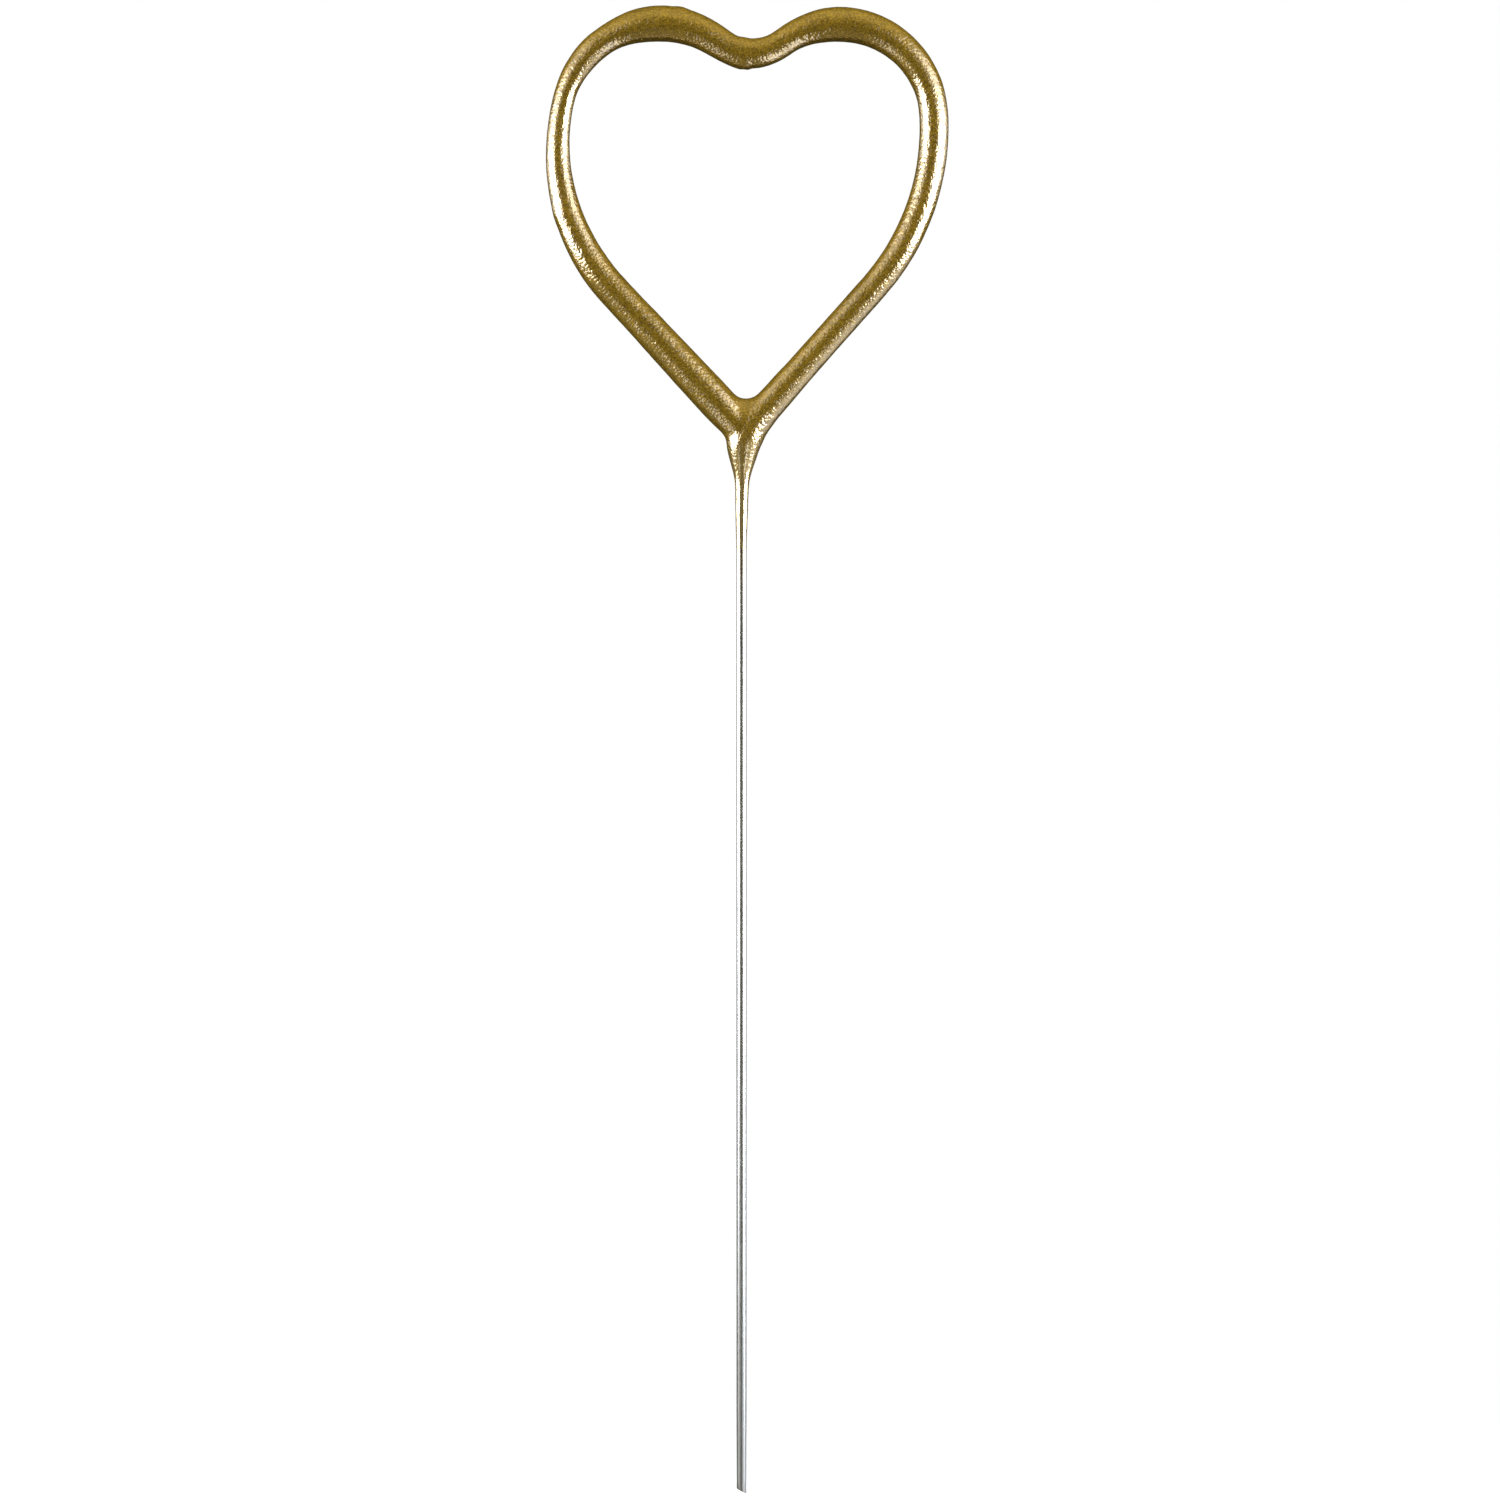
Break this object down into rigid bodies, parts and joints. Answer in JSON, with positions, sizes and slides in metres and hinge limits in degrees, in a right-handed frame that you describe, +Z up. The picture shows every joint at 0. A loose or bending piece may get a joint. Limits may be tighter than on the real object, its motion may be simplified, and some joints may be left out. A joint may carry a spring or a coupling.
{
  "type": "heart sparkler",
  "caption": "Heart-shaped gold sparkler: a dipped and lacquered composition heart on the end of a bare steel wire stem, held by the stem or stood in a cake.",
  "frame": {"origin": "on the stem's axis at its foot, at the tip of the slanted cut", "axes": "+Z up the stem towards the heart, +X to the heart's right as seen from the front, +Y away from the viewer, through the heart's plane"},
  "size_m": [0.0484, 0.0044, 0.1786],
  "materials": {
    "steel_wire": "satin",
    "weld_metal": "matte",
    "base_composition": "matte",
    "top_composition": "matte",
    "gold_lacquer": "satin"
  },
  "bodies": {
    "root": {"core_wire": "steel_wire", "tail_weld": "weld_metal", "base_coat": "base_composition", "top_coat": "top_composition", "gold_lacquer": "gold_lacquer"}
  },
  "joints": []
}
